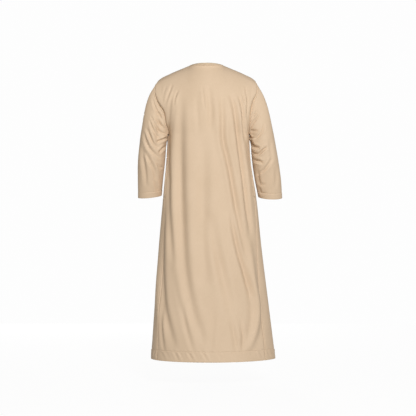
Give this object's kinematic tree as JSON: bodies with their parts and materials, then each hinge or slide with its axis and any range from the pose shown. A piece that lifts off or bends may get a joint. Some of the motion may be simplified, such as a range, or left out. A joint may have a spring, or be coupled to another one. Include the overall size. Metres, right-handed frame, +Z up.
{
  "type": "thobe robe",
  "caption": "Full-length collarless thobe in its hollow worn form, with long set-in sleeves, side gores, a narrow neck band and a buttoned front placket.",
  "frame": {"origin": "middle of the neck opening, level with the neck points where the wearer's neck and shoulders carry the robe", "axes": "+Z up along the robe's length, +X to the wearer's left, front towards -Y"},
  "size_m": [0.7306, 0.4029, 1.4816],
  "materials": {
    "robe_cloth": "fine woven suiting with a soft sheen, matt sand beige",
    "band_cloth": "the same cloth doubled and stitched, slightly cooler beige",
    "button_resin": "satin beige resin"
  },
  "bodies": {
    "root": {"back_panel": "robe_cloth", "front_panel": "robe_cloth", "gore_left": "robe_cloth", "gore_right": "robe_cloth", "sleeve_left": "robe_cloth", "sleeve_right": "robe_cloth", "neck_band": "band_cloth", "placket": "robe_cloth", "pocket_left": "robe_cloth", "pocket_right": "robe_cloth", "button_1": "button_resin", "button_2": "button_resin", "button_3": "button_resin", "button_4": "button_resin"}
  },
  "joints": []
}
